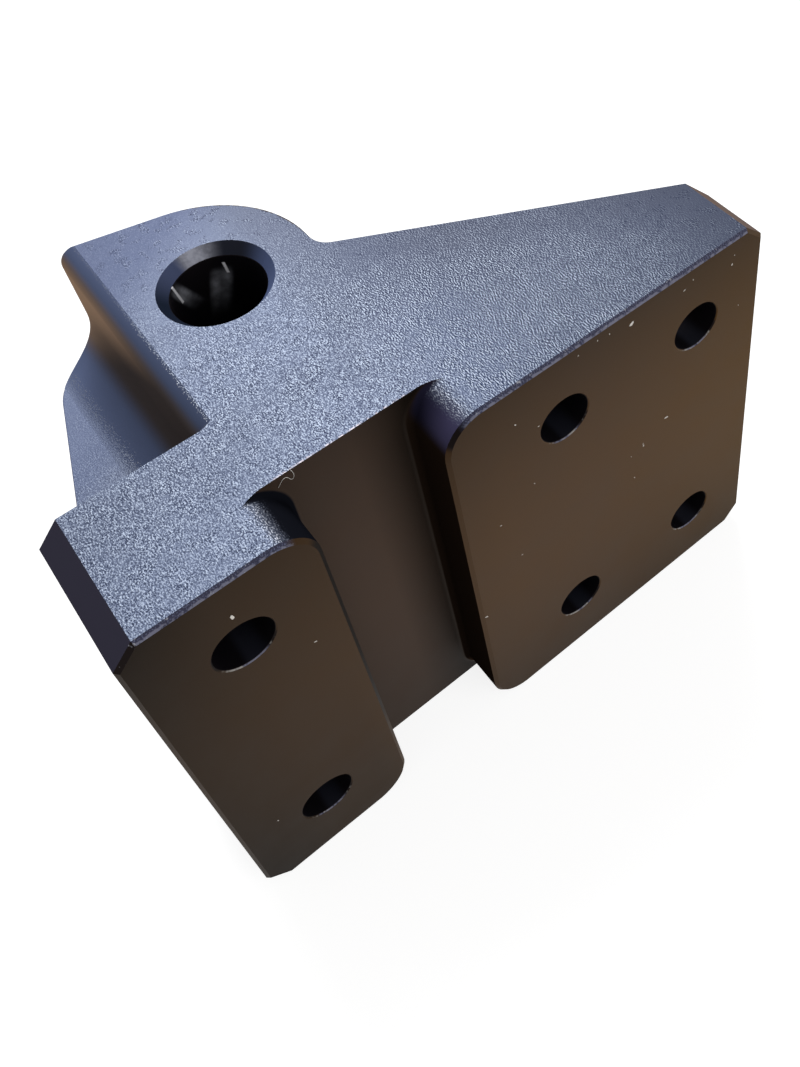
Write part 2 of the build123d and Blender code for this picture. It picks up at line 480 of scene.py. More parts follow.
class BracketStage(bpy.types.PropertyGroup):
    """Floor and lamps."""

    floor_size: bpy.props.FloatProperty(
        name="Floor", description="Side of the square floor", unit="LENGTH", min=0, default=6.0,
    )
    floor_colour: bpy.props.FloatVectorProperty(
        name="Floor colour", description="Colour of the floor", subtype="COLOR",
        size=3, min=0, max=1, default=(0.80, 0.74, 0.66),
    )
    key_power: bpy.props.FloatProperty(
        name="Key", description="Power of the softbox above and behind the block", unit="POWER", min=0, default=4.4,
    )
    fill_power: bpy.props.FloatProperty(
        name="Fill", description="Power of the softbox in front", unit="POWER", min=0, default=3.0,
    )
    sky_strength: bpy.props.FloatProperty(
        name="Surroundings", description="Even light from all sides", min=0, default=0.35,
    )


# In the functions below a mask's limits are millimetres for x, y, z and the distances, degrees around the bore,
# and cosines for right, rear, up and level, which say how far the surface faces that way


def surface_places(sheet):
    """Place and facing of the surface, and its distances from the axes of the bore and of the screw holes."""
    where = sheet.add("ShaderNodeGroup", node_tree=place_group()).outputs
    return SimpleNamespace(
        place=where["Place"],
        x=where["X"],
        y=where["Y"],
        z=where["Z"],
        right=where["Right"],
        rear=where["Rear"],
        up=where["Up"],
        level=sheet.math("ABSOLUTE", where["Up"]),
        from_bore=where["From Bore"],
        around_bore=where["Around Bore"],
        from_hole=hole_distance(sheet, where["X"], where["Z"]),
    )


def surface_zones(sheet, at, grain_height):
    """Masks of the zones with a finish of their own; the grain's height makes some of their edges ragged."""
    x, y, z = at.x, at.y, at.z
    right, rear, up, level = at.right, at.rear, at.up, at.level
    zone = SimpleNamespace()
    zone.flat = sheet.rise(level, 0.99, 0.999)
    zone.on_round = sheet.rise(level, 0.995, 0.93)
    zone.on_rib = sheet.rise(z, HEIGHT_MM - 8.0, HEIGHT_MM - 12.0)
    between_pads = sheet.both(sheet.rise(x, 18.0, 19.0), sheet.rise(x, 52.0, 51.0))

    # The end faces' lighter colour is painted light by how far the surface faces up: it runs on down the pads'
    # rounds, fading as they turn, and stops ragged at the shoulder
    shoulder = sheet.math("MULTIPLY_ADD", grain_height, 0.240, sheet.math("SUBTRACT", level, 0.120))
    fall = sheet.math("MULTIPLY_ADD", grain_height, 0.25, -0.125)
    fall = sheet.math("MULTIPLY_ADD", sheet.rise(right, 0.0, 0.4), -0.100, fall)
    fall = sheet.math("MULTIPLY_ADD", sheet.rise(right, 0.0, -0.4), -0.070, fall)
    pad_round = sheet.math("ADD", level, fall)
    on_pads = sheet.both(between_pads, sheet.rise(y, 9.6, 9.0))
    end_face = sheet.mix_value(on_pads, sheet.rise(shoulder, 0.962, 0.992), sheet.rise(pad_round, 0.72, 0.94))
    zone.end_face = sheet.either(end_face, zone.flat)

    zone.in_hole = sheet.rise(at.from_hole, BOLT_HOLE_RADIUS_MM + 0.06, BOLT_HOLE_RADIUS_MM + 0.02)
    zone.in_bore = sheet.rise(at.from_bore, BORE_RADIUS_MM + 0.10, BORE_RADIUS_MM + 0.05)
    zone.inside = sheet.either(zone.in_bore, zone.in_hole)
    zone.mouth = sheet.both(
        sheet.rise(at.from_bore, BORE_MOUTH_RADIUS_MM + 0.02, BORE_MOUTH_RADIUS_MM - 0.02),
        sheet.rise(level, 0.9, 0.8),
        sheet.outside(zone.in_bore),
    )

    # Milled zones: the channel's root is painted dark as shade, so its floor counts as front only where it is flat
    zone.in_channel = sheet.both(between_pads, sheet.rise(y, 6.8, 7.1))
    zone.front = sheet.mix_value(zone.in_channel, sheet.rise(rear, -0.30, -0.96), sheet.rise(rear, -0.88, -0.998))
    zone.pad_sides = sheet.both(between_pads, sheet.rise(y, 10.2, 9.8))
    level_enough = sheet.rise(level, 0.5, 0.6)
    inner, outer = CORNER_CHAMFER_MM + 0.15, CORNER_CHAMFER_MM - 0.05
    zone.left_chamfer = sheet.both(
        sheet.rise(x, inner, outer), level_enough, sheet.rise(y, FLANGE_MM + 1.0, FLANGE_MM)
    )
    zone.right_chamfer = sheet.both(sheet.rise(x, LENGTH_MM - inner, LENGTH_MM - outer), level_enough)

    # The break round the pads, with its upper run in painted light, its side and left corner in painted shade, and
    # the holes' mouths, which carry a painted highlight
    broken = sheet.both(sheet.rise(rear, -0.45, -0.55), sheet.rise(rear, -0.86, -0.78))
    zone.rim = sheet.both(broken, sheet.rise(y, PAD_EDGE_BREAK_MM + 0.3, PAD_EDGE_BREAK_MM + 0.1))
    short_of_end = sheet.rise(x, LENGTH_MM - CORNER_CHAMFER_MM + 0.25, LENGTH_MM - inner)
    zone.rim_top = sheet.both(zone.rim, sheet.rise(up, 0.25, 0.6), sheet.rise(right, 0.45, 0.25), short_of_end)
    zone.rim_side = sheet.both(
        zone.rim, sheet.rise(right, 0.58, 0.69), sheet.rise(x, 32.0, 28.0), sheet.rise(z, 8.0, 30.0)
    )
    zone.rim_corner = sheet.both(zone.rim, sheet.rise(right, -0.25, -0.45), sheet.rise(up, 0.2, 0.35))
    around_hole = sheet.rise(at.from_hole, BOLT_HOLE_RADIUS_MM + 0.40, BOLT_HOLE_RADIUS_MM + 0.30)
    zone.hole_rim = sheet.both(broken, around_hole, sheet.rise(up, 0.25, 0.62))
    return zone


def blasted_grain(sheet, at, finish):
    """The grain's height, pits and glints. Over the web it is drawn out to the rear."""
    drawn = sheet.rise(at.x, 38.0, 62.0)
    node = sheet.add("ShaderNodeGroup", {"Place": at.place, "Drawn": drawn}, node_tree=grain_group())
    node.inputs["Size"].default_value = finish.grain_size / MM
    return SimpleNamespace(height=node.outputs["Height"], pit=node.outputs["Pit"], glint=node.outputs["Glint"])


def grain_spread(sheet, at, zone):
    """Strength of the blasted grain, and the islands of grain on the calm part.

    The grain calms towards the boss, the right end and the web's rear edge.
    """
    x, y = at.x, at.y
    coarse = sheet.both(sheet.rise(y, 54.0, 24.0), sheet.rise(x, 99.0, 74.0))
    from_web_edge = sheet.math("MULTIPLY_ADD", x, -WEB_SLOPE, sheet.math("SUBTRACT", WEB_EDGE_MM, y))
    off_web_edge = sheet.either(sheet.rise(from_web_edge, 3.0, 13.0), sheet.rise(x, 54.0, 48.0))
    uneven = sheet.span(sheet.noise(at.place, 2.4), 0.35, 0.65, 0.74, 1.26)
    islands = sheet.both(sheet.rise(sheet.noise(at.place, 1.8), 0.50, 0.62), sheet.span(x, 18.0, 34.0, 0.16, 0.42))
    islands = sheet.either(islands, sheet.both(zone.on_rib, sheet.span(y, 24.0, 50.0, 0.62, 0.20)))
    strength = sheet.both(
        zone.end_face,
        sheet.either(sheet.by_mask(coarse, 0.12, 1.0), islands),
        sheet.by_mask(off_web_edge, 0.45, 1.0),
        uneven,
        sheet.span(x, 14.0, 34.0, 0.93, 1.0),
        sheet.outside(zone.inside),
    )
    return strength, islands


def end_face_colour(sheet, at, zone, finish, grain, cloud_tone):
    """Upper and lower face: blue-grey with painted light and shade, darker over the web and to the right, and with
    dark pits and bright glints.
    """
    x, y = at.x, at.y
    to_boss = sheet.math("MULTIPLY_ADD", x, -0.6, sheet.math("ADD", y, 13.2))
    ends = sheet.blend(sheet.rise(to_boss, 38.0, 52.0), finish.end_colour, BESIDE_BORE)
    on_rib = sheet.blend(zone.on_rib, ends, sheet.tinted(ends, RIB_TINT))
    ends = sheet.blend(sheet.rise(x, 44.0, 58.0), on_rib, sheet.tinted(ends, WEB_TINT))

    # Painted light and shade: changing from front to rear, darker to the right and at the web's root, lighter on the
    # rib's rear; the cloud's tone differs at random
    left_tone = sheet.both(sheet.span(y, 4.0, 16.0, 1.24, 1.0), sheet.span(y, 19.0, 26.0, 1.0, 1.16))
    web_tone = sheet.both(sheet.span(y, 10.0, 20.0, 1.14, 1.0), sheet.span(y, 19.0, 30.0, 1.0, 0.93))
    web_root = sheet.both(sheet.rise(x, 38.0, 46.0), sheet.rise(y, 16.0, 27.0), sheet.rise(x, 80.0, 62.0))
    rib_rear = sheet.both(zone.on_rib, sheet.span(y, 26.0, 42.0, 0.0, 1.0))
    tone = sheet.both(
        sheet.span(x, 42.0, 66.0, 0.92, 0.495),
        sheet.span(x, 66.0, 98.0, 1.0, 0.85),
        sheet.mix_value(sheet.rise(x, 38.0, 58.0), left_tone, web_tone),
        sheet.by_mask(web_root, 1.0, 0.83),
        sheet.by_mask(rib_rear, 1.0, 1.32),
        cloud_tone,
    )
    ends = sheet.scaled(ends, tone)

    calm_pits = sheet.both(
        zone.flat, grain.islands, ISLAND_PITS, sheet.outside(zone.on_rib), sheet.outside(zone.inside)
    )
    pit = sheet.both(grain.pit, sheet.either(grain.strength, calm_pits), sheet.span(x, 46.0, 60.0, 0.76, 0.90))
    # The pits' dark and the glints paint the grain's shade and highlights
    ends = sheet.blend(pit, ends, PIT)
    sparkle = sheet.by_mask(zone.on_round, 1.0, 1.65)
    glint = sheet.both(grain.glint, grain.strength, sparkle, GLINT_STRENGTH)
    round_glint = sheet.blend(sheet.rise(x, 34.0, 36.0), LEFT_ROUND_GLINT, RIGHT_ROUND_GLINT)
    glint_colour = sheet.blend(zone.on_round, FLAT_GLINT, round_glint)
    return sheet.blend(sheet.math("MINIMUM", glint, 1.0), ends, glint_colour)


def pad_face_colour(sheet, at, zone, finish, cloud_tone):
    """Pads: painted reflection, lightest at half height and to the right and warmer at the far right. The channel is
    cooler and darkens to its right wall in painted shade.
    """
    x, z = at.x, at.z
    mid_height = sheet.math("DIVIDE", sheet.math("SUBTRACT", z, HEIGHT_MM / 2), HEIGHT_MM / 2)
    bow = sheet.math("ADD", sheet.span(x, 2.0, 12.0, -0.95, -0.48), sheet.span(x, 26.0, 44.0, 0.0, -0.16))
    arch = sheet.math("MULTIPLY_ADD", sheet.math("MULTIPLY", mid_height, mid_height), bow, 1.15)
    across = sheet.math("ADD", sheet.span(x, 0.0, 14.0, 0.55, 1.10), sheet.span(x, 14.0, 52.0, 0.0, 1.02))
    # Painted shade in the channel, darkening towards its right wall
    channel = sheet.mix_value(zone.in_channel, 1.0, sheet.span(x, 36.0, 44.4, 1.0, 0.12))
    low_left = sheet.both(sheet.rise(x, 26.0, 22.0), sheet.span(z, 12.0, 46.0, 1.0, 0.0))
    tone = sheet.both(across, arch, channel, sheet.by_mask(low_left, 1.0, 0.80), cloud_tone)
    pads = sheet.scaled(finish.pad_colour, tone)
    # Painted warm reflection towards the far right
    warm_reflection = sheet.tinted(pads, FAR_PAD_REFLECTION_TINT)
    pads = sheet.blend(zone.in_channel, pads, sheet.tinted(pads, CHANNEL_TINT))
    return sheet.blend(sheet.span(x, 66.0, 98.0, 0.0, 1.0), pads, warm_reflection)


def pad_side_colour(sheet, at):
    """The pads' sides in the channel: black painted shade, with painted light on a navy round at the right pad's top
    and on brown ones below.
    """
    right, up = at.right, at.up
    sides = sheet.blend(sheet.rise(right, 0.0, 0.3), RIGHT_PAD_SIDE, LEFT_PAD_SIDE)
    navy = sheet.blend(sheet.rise(at.y, 1.0, 7.0), NAVY_FRONT, NAVY_REAR)
    sides = sheet.blend(sheet.both(sheet.rise(right, -0.1, -0.4), sheet.rise(up, 0.15, 0.55)), sides, navy)
    return sheet.blend(sheet.rise(up, -0.1, -0.3), sides, LOWER_PAD_ROUND)


def boss_side_colour(sheet, at, finish, colour):
    """Shoulder, wall and valley left of the boss: navy rounds with painted light, and a wall in painted shade that
    turns tan to the rear as a painted warm reflection.

    Also returns the mask of this part of the surface.
    """
    x, y = at.x, at.y
    beside_boss = sheet.both(
        sheet.rise(x, 25.2, 24.8), sheet.rise(y, FLANGE_MM - 0.4, FLANGE_MM + 0.2), sheet.rise(at.rear, 0.4, 0.2)
    )
    leftward = sheet.math("MULTIPLY", at.right, -1.0)
    off_middle = sheet.apart(at.z, HEIGHT_MM / 2)
    upper = sheet.rise(off_middle, 29.0, 33.0)
    wall = sheet.mix_value(upper, sheet.rise(leftward, 0.60, 0.92), sheet.rise(leftward, 0.55, 0.95))
    wall = sheet.both(wall, sheet.rise(x, 15.0, 17.0))
    # Painted warm reflection to the rear, painted shade in front
    to_rear = sheet.math("MULTIPLY_ADD", off_middle, 1.5, sheet.math("SUBTRACT", y, 48.0))
    tan_reflection = sheet.both(sheet.rise(to_rear, 38.0, 60.0), sheet.span(off_middle, 35.6, 37.6, 1.0, 0.3))
    walls = sheet.blend(tan_reflection, WALL_FRONT, finish.wall_colour)
    round_tone = sheet.mix_value(upper, 1.55, sheet.span(y, 22.0, 60.0, 0.80, 1.24))
    rounds = sheet.scaled(finish.valley_colour, round_tone)
    return sheet.blend(beside_boss, colour, sheet.blend(wall, rounds, walls)), beside_boss


def pad_edge_colour(sheet, at, zone, finish, glint, pads, mottle, colour):
    """Breaks round the pads, grained, rubbed and in painted light above and in black painted shade beside, and
    painted highlights on the edges of channel and holes.
    """
    x, y = at.x, at.y
    # Painted light on the break's upper run with a ragged painted highlight, and painted shade on its side and left
    # corner; the rubbed spots are wear
    colour = sheet.blend(zone.rim, colour, sheet.scaled(pads, 1.3))
    colour = sheet.blend(zone.rim_top, colour, sheet.blend(glint, RIM, RIM_GLINT))
    ragged = sheet.rise(sheet.math("MULTIPLY_ADD", mottle, 0.5, y), 0.52, 0.40)
    rim_highlight = sheet.both(zone.rim_top, ragged, sheet.rise(mottle, 0.60, 0.48))
    colour = sheet.blend(rim_highlight, colour, RIM_HIGHLIGHT)
    colour = sheet.blend(zone.rim_side, colour, RIM_SIDE_SHADE)
    colour = sheet.blend(zone.rim_corner, colour, RIM_CORNER_SHADE)
    rub = sheet.add("ShaderNodeGroup", {"Place": at.place, "Edge": zone.rim_top}, node_tree=wear_group())
    rub.inputs["Amount"].default_value = finish.edge_rub
    colour = sheet.blend(rub.outputs["Rub"], colour, RUBBED)
    # Painted highlight along the channel's upper edge, broken up by noise
    channel_edge_highlight = sheet.both(
        zone.flat,
        sheet.rise(y, CHANNEL_DEPTH_MM + 0.26, CHANNEL_DEPTH_MM + 0.10),
        sheet.rise(y, CHANNEL_DEPTH_MM - 0.2, CHANNEL_DEPTH_MM - 0.1),
        sheet.rise(x, 24.0, 27.0),
        sheet.rise(x, 46.0, 43.0),
        sheet.rise(sheet.noise(at.place, 0.7, detail=3.0), 0.42, 0.62),
    )
    colour = sheet.blend(channel_edge_highlight, colour, CHANNEL_EDGE_HIGHLIGHT)
    # Painted highlight on the upward-facing part of the holes' mouths, broken up by noise
    highlight_breakup = sheet.rise(sheet.noise(at.place, 1.2), 0.50, 0.66)
    return sheet.blend(sheet.both(zone.hole_rim, highlight_breakup), colour, HOLE_EDGE_HIGHLIGHT)


def rear_edge_colour(sheet, at, zone, boss_side, mottle, colour):
    """Edges behind the flange: a dark line at the boss's rear right, and the breaks.

    The breaks have painted light and shade by the way they face: black where they face right, beside the boss, violet
    where they face left, on the rib, and brown-grey to the rear. Also returns their mask.
    """
    x, y, right, level = at.x, at.y, at.right, at.level
    in_plan = sheet.tinted(at.place, (1.0, 1.0, 0.0))
    from_boss = sheet.vector_math("DISTANCE", in_plan, (*BOSS_MIDDLE_MM, 0.0)).outputs["Value"]
    boss_edge = sheet.both(
        zone.flat,
        sheet.rise(from_boss, BOSS_RADIUS_MM - 0.34, BOSS_RADIUS_MM - 0.20),
        sheet.rise(x, 37.0, 41.0),
        sheet.rise(y, 43.0, 46.0),
        sheet.rise(mottle, 0.40, 0.52),
    )
    colour = sheet.blend(boss_edge, colour, BOSS_EDGE)

    in_seat = sheet.rise(at.from_hole, SEAT_RADIUS_MM + 0.25, SEAT_RADIUS_MM + 0.10)
    beside = sheet.either(
        sheet.both(boss_side, sheet.rise(x, 4.0, 10.0)),
        zone.mouth,
        sheet.both(in_seat, sheet.rise(x, 50.0, 52.0)),
    )
    breaks = sheet.both(
        sheet.rise(y, FLANGE_MM - 0.1, FLANGE_MM + 0.3),
        sheet.rise(level, 0.60, 0.68),
        sheet.rise(level, 0.80, 0.74),
        sheet.outside(beside),
    )
    # Painted light and shade on the breaks by the way they face
    break_colour = sheet.blend(sheet.rise(right, 0.2, 0.5), REAR_BREAK, RIGHT_BREAK_SHADE)
    break_colour = sheet.blend(sheet.rise(right, -0.2, -0.5), break_colour, RIB_BREAK)
    return sheet.blend(breaks, colour, break_colour), breaks


def mouth_colour(sheet, at, zone, mottle, colour):
    """The bore's conical mouth: navy, with painted light and shade around it, a painted highlight behind and
    near-black painted shade to the left of it.
    """
    around = at.around_bore
    tone = sheet.blend(sheet.rise(around, 37.0, 0.0), MOUTH_SHADE, MOUTH_RIGHT)
    tone = sheet.blend(sheet.rise(around, 98.0, 108.0), tone, MOUTH_REAR)
    # Painted highlight on the mouth behind the bore
    mouth_highlight = sheet.both(
        sheet.rise(around, 54.0, 88.0),
        sheet.rise(around, 112.0, 92.0),
        sheet.span(mottle, 0.35, 0.65, 0.72, 1.12),
    )
    tone = sheet.blend(sheet.math("MINIMUM", mouth_highlight, 1.0), tone, MOUTH_HIGHLIGHT)
    left = sheet.either(sheet.rise(around, 114.0, 168.0), sheet.rise(around, -90.0, -130.0))
    tone = sheet.blend(left, tone, MOUTH_LEFT_SHADE)
    return sheet.blend(zone.mouth, colour, tone)


def inside_colour(sheet, at, zone, colour):
    """Walls of the screw holes and the bore: near-black painted shade, with a little painted light low in the holes'
    mouths.
    """
    lit = sheet.both(
        zone.in_hole,
        sheet.rise(at.up, 0.75, 0.98),
        sheet.rise(at.right, 0.3, 0.0),
        sheet.rise(at.y, 11.0, 2.0),
    )
    # Near-black painted shade inside, with a little painted light low in the holes' mouths
    return sheet.blend(zone.inside, colour, sheet.blend(lit, HOLE_WALL, HOLE_WALL_LIT))


def bore_reflections_and_scratches(sheet, at, zone, colour):
    """Painted reflections down the bore's far wall, each with a bright scratch."""
    depth = sheet.math("SUBTRACT", HEIGHT_MM, at.z)
    reflection_breakup = sheet.noise(at.place, 1.6)
    # Painted reflections on the bore's wall
    for start, drift, half_width, top, bottom in BORE_REFLECTIONS:
        off = sheet.apart(at.around_bore, sheet.math("MULTIPLY_ADD", depth, drift, start))
        soft_edge = sheet.rise(off, half_width, half_width * 0.30)
        across = sheet.both(soft_edge, sheet.span(off, 0.0, half_width, 0.45, 1.0))
        along = sheet.both(sheet.rise(depth, top - 1.2, top + 1.8), sheet.rise(depth, bottom, bottom * 0.5))
        reflection = sheet.both(across, along, sheet.span(reflection_breakup, 0.35, 0.65, 0.5, 1.0), zone.in_bore)
        colour = sheet.blend(reflection, colour, BORE_REFLECTION)
    for start, drift, half_width, top, bottom in BORE_SCRATCHES:
        off = sheet.apart(at.around_bore, sheet.math("MULTIPLY_ADD", depth, drift, start))
        across = sheet.rise(off, half_width, half_width * 0.4)
        along = sheet.both(sheet.rise(depth, top - 0.1, top + 0.1), sheet.rise(depth, bottom + 0.1, bottom - 0.1))
        colour = sheet.blend(sheet.both(across, along, zone.in_bore), colour, SCRATCH)
    return colour


def anodised_material(finish):
    """Black anodising: blasted and lighter on the end faces, partly painted light by facing, brown-black on the pads,
    navy-black elsewhere.
    """
    material = bpy.data.materials.new(SLOT)
    material.use_nodes = True
    sheet = Sheet(material.node_tree)
    at = surface_places(sheet)
    grain = blasted_grain(sheet, at, finish)
    zone = surface_zones(sheet, at, grain.height)
    grain.strength, grain.islands = grain_spread(sheet, at, zone)
    mottle = sheet.noise(at.place, 0.8, detail=3.0, roughness=0.6)
    cloud = sheet.noise(at.place, 9.0, detail=3.0, roughness=0.6)
    cloud_tone = sheet.span(cloud, 0.3, 0.7, 0.94, 1.06)

    # Colours, each zone over the ones before it, with much of the light, shade and reflection painted in
    pads = pad_face_colour(sheet, at, zone, finish, cloud_tone)
    colour, boss_side = boss_side_colour(sheet, at, finish, finish.side_colour)
    colour = sheet.blend(zone.left_chamfer, colour, LEFT_CHAMFER)
    # The right chamfer's tan is painted warm light
    colour = sheet.blend(zone.right_chamfer, colour, RIGHT_CHAMFER)
    colour = sheet.blend(zone.pad_sides, colour, pad_side_colour(sheet, at))
    colour = sheet.blend(zone.front, colour, pads)
    ends = end_face_colour(sheet, at, zone, finish, grain, cloud_tone)
    colour = sheet.blend(zone.end_face, colour, ends)
    colour = pad_edge_colour(sheet, at, zone, finish, grain.glint, pads, mottle, colour)
    colour, rear_breaks = rear_edge_colour(sheet, at, zone, boss_side, mottle, colour)
    colour = mouth_colour(sheet, at, zone, mottle, colour)
    colour = inside_colour(sheet, at, zone, colour)
    colour = bore_reflections_and_scratches(sheet, at, zone, colour)

    # Shine: none on the quiet zones, which show their colour alone with its painted light and shade, and the most on
    # the end faces
    quiet = sheet.either(
        boss_side, zone.left_chamfer, zone.pad_sides, zone.mouth, rear_breaks, zone.right_chamfer
    )
    quiet = sheet.both(quiet, sheet.outside(zone.front), sheet.outside(zone.end_face))
    dull = sheet.either(zone.front, zone.inside, quiet)
    metal = sheet.both(sheet.mix_value(zone.end_face, SIDE_METAL, END_METAL), sheet.outside(dull))
    roughness = sheet.math("ADD", ROUGHNESS, sheet.math("MULTIPLY", zone.end_face, END_ROUGHER))
    roughness = sheet.math("ADD", roughness, sheet.math("MULTIPLY", zone.front, PAD_ROUGHER))
    roughness = sheet.math("ADD", roughness, sheet.span(cloud, 0.3, 0.7, -0.03, 0.03))

    # Bump in metres: the grain's pits and a very fine satin all over
    pits = sheet.both(grain.height, grain.strength, finish.grain_depth)
    satin = sheet.math("MULTIPLY", sheet.noise(at.place, 0.22, detail=1.0), SATIN_DEPTH)
    relief = sheet.math("ADD", pits, satin)
    bump = sheet.add("ShaderNodeBump", {"Height": relief, "Strength": 1.0, "Distance": 1.0})

    shader = sheet.add(
        "ShaderNodeBsdfPrincipled",
        {
            "Base Color": colour,
            "Roughness": roughness,
            "Metallic": metal,
            "Specular IOR Level": sheet.by_mask(quiet, SHEEN, 0.0),
            "Specular Tint": SHEEN_TINT,
            "Normal": bump.outputs[0],
        },
    )
    # Stands in where an exported model drops the linked level
    shader.inputs["Specular IOR Level"].default_value = SHEEN
    sheet.add("ShaderNodeOutputMaterial", {"Surface": shader.outputs[0]})
    return material


class BRACKET_OT_anodise(bpy.types.Operator):
    """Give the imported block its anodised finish"""

    bl_idname = "bracket.anodise"
    bl_label = "Anodise block"

    def execute(self, context):
        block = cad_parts[NODE]
        material = anodised_material(context.scene.bracket_finish)
        if not block.material_slots:
            raise RuntimeError("the packed block has no material slot")
        for place in block.material_slots:
            place.material = material
        return {"FINISHED"}


def lint_material(lint):
    """Dusty off-white fibre, a little darker in its hollows."""
    material = bpy.data.materials.new("lint")
    material.use_nodes = True
    sheet = Sheet(material.node_tree)
    where = sheet.add("ShaderNodeTexCoord").outputs["Object"]
    patches = sheet.noise(where, 0.00025, detail=1.0)
    hollow = [value * 0.7 for value in lint.lint_colour]
    colour = sheet.blend(patches, hollow, lint.lint_colour)
    shader = sheet.add("ShaderNodeBsdfPrincipled", {"Base Color": colour, "Roughness": 0.8})
    sheet.add("ShaderNodeOutputMaterial", {"Surface": shader.outputs[0]})
    return material


def fleck_tree(material):
    """Geometry nodes: a crumpled, flattened fleck on every point, sized by the point.

    Also returns the identifier of the tree's seed.
    """
    tree = bpy.data.node_groups.new("Lint flecks", "GeometryNodeTree")
    tree.interface.new_socket("Points", in_out="INPUT", socket_type="NodeSocketGeometry")
    seed = tree.interface.new_socket("Seed", in_out="INPUT", socket_type="NodeSocketInt")
    tree.interface.new_socket("Flecks", in_out="OUTPUT", socket_type="NodeSocketGeometry")
    sheet = Sheet(tree)
    given = sheet.add("NodeGroupInput").outputs
    ball = sheet.add("GeometryNodeMeshIcoSphere", {"Radius": 0.5, "Subdivisions": 2}).outputs["Mesh"]
    place = sheet.add("GeometryNodeInputPosition").outputs[0]
    lump = sheet.add("ShaderNodeTexNoise", {"Vector": place, "Scale": FLECK_LUMPS, "Detail": 1.0}).outputs[0]
    push = sheet.scaled(place, sheet.math("MULTIPLY", sheet.math("SUBTRACT", lump, 0.5), FLECK_CRUMPLE))
    crumpled = sheet.add("GeometryNodeSetPosition", {"Geometry": ball, "Offset": push}).outputs[0]
    turn = sheet.add("FunctionNodeRandomValue", {"Seed": given["Seed"]}, data_type="FLOAT")
    turn.inputs[3].default_value = FLECK_TURN
    angle = sheet.add("ShaderNodeCombineXYZ", {"Y": turn.outputs[1]}).outputs[0]
    size = sheet.add("GeometryNodeInputNamedAttribute", {"Name": "fleck_size"}, data_type="FLOAT").outputs[0]
    flat = sheet.scaled(FLECK_SHAPE, size)
    spread = sheet.add(
        "GeometryNodeInstanceOnPoints",
        {"Points": given["Points"], "Instance": crumpled, "Rotation": angle, "Scale": flat},
    )
    real = sheet.add("GeometryNodeRealizeInstances", {0: spread.outputs[0]}).outputs[0]
    painted = sheet.add("GeometryNodeSetMaterial", {"Geometry": real, "Material": material}).outputs[0]
    sheet.add("NodeGroupOutput", {0: painted})
    return tree, seed.identifier


def plain_mesh(piece):
    """Replace a piece by the plain mesh that its curve or modifiers make."""
    graph = bpy.context.evaluated_depsgraph_get()
    mesh = bpy.data.meshes.new_from_object(piece.evaluated_get(graph))
    name = piece.name
    bpy.data.objects.remove(piece)
    made = bpy.data.objects.new(name, mesh)
    bpy.context.scene.collection.objects.link(made)
    return made


def fibre_tube(thickness, material):
    """The loose fibre as a thin tube along its path."""
    data = bpy.data.curves.new("fibre", "CURVE")
    data.dimensions = "3D"
    data.bevel_depth = thickness / 2
    data.bevel_resolution = 2
    data.resolution_u = 6
    path = data.splines.new("NURBS")
    path.points.add(len(FIBRE_MM) - 1)
    for point, place in zip(path.points, FIBRE_MM):
        point.co = (*mm(*place), 1.0)
    path.order_u = 3
    path.use_endpoint_u = True
    piece = bpy.data.objects.new("fibre", data)
    bpy.context.scene.collection.objects.link(piece)
    bpy.context.view_layer.update()
    tube = plain_mesh(piece)
    tube.data.materials.clear()
    tube.data.materials.append(material)
    return tube


class BRACKET_OT_lint(bpy.types.Operator):
    """Lay the dust flecks on the pads and the fibre in the channel"""

    bl_idname = "bracket.lint"
    bl_label = "Add lint"

    def execute(self, context):
        material = lint_material(context.scene.bracket_lint)
        points = bpy.data.meshes.new("lint_flecks")
        points.from_pydata([mm(x, 0.0, z) for x, z, _ in LINT_FLECKS_MM], [], [])
        sizes = points.attributes.new("fleck_size", "FLOAT", "POINT")
        for index, (_, _, size) in enumerate(LINT_FLECKS_MM):
            sizes.data[index].value = size * MM
        piece = bpy.data.objects.new("lint_flecks", points)
        context.scene.collection.objects.link(piece)
        tree, seed = fleck_tree(material)
        maker = piece.modifiers.new("flecks", "NODES")
        maker.node_group = tree
        maker[seed] = FLECK_SEED
        flecks = plain_mesh(piece)
        fibre = fibre_tube(context.scene.bracket_lint.fibre_thickness, material)
        for piece in (flecks, fibre):
            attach(piece, BODY)
        return {"FINISHED"}


def seen_mask(sheet):
    """1 for what the camera, a mirror or glass sees, and 0 for light that falls on the block."""
    path = sheet.add("ShaderNodeLightPath").outputs
    return sheet.either(path["Is Camera Ray"], path["Is Glossy Ray"], path["Is Transmission Ray"])


def floor_material(stage):
    """Pale floor that the camera and shiny faces see as white, with the shadow kept."""
    material = bpy.data.materials.new("floor")
    material.use_nodes = True
    sheet = Sheet(material.node_tree)
    pale = sheet.add("ShaderNodeBsdfDiffuse", {"Color": stage.floor_colour})
    lit = sheet.add("ShaderNodeBsdfDiffuse", {"Color": FLOOR_GREY})
    glow = sheet.add("ShaderNodeEmission", {"Color": WHITE, "Strength": FLOOR_GLOW})
    shown = sheet.add("ShaderNodeAddShader", {0: lit.outputs[0], 1: glow.outputs[0]})
    mix = sheet.add("ShaderNodeMixShader", {0: seen_mask(sheet), 1: pale.outputs[0], 2: shown.outputs[0]})
    sheet.add("ShaderNodeOutputMaterial", {"Surface": mix.outputs[0]})
    return material


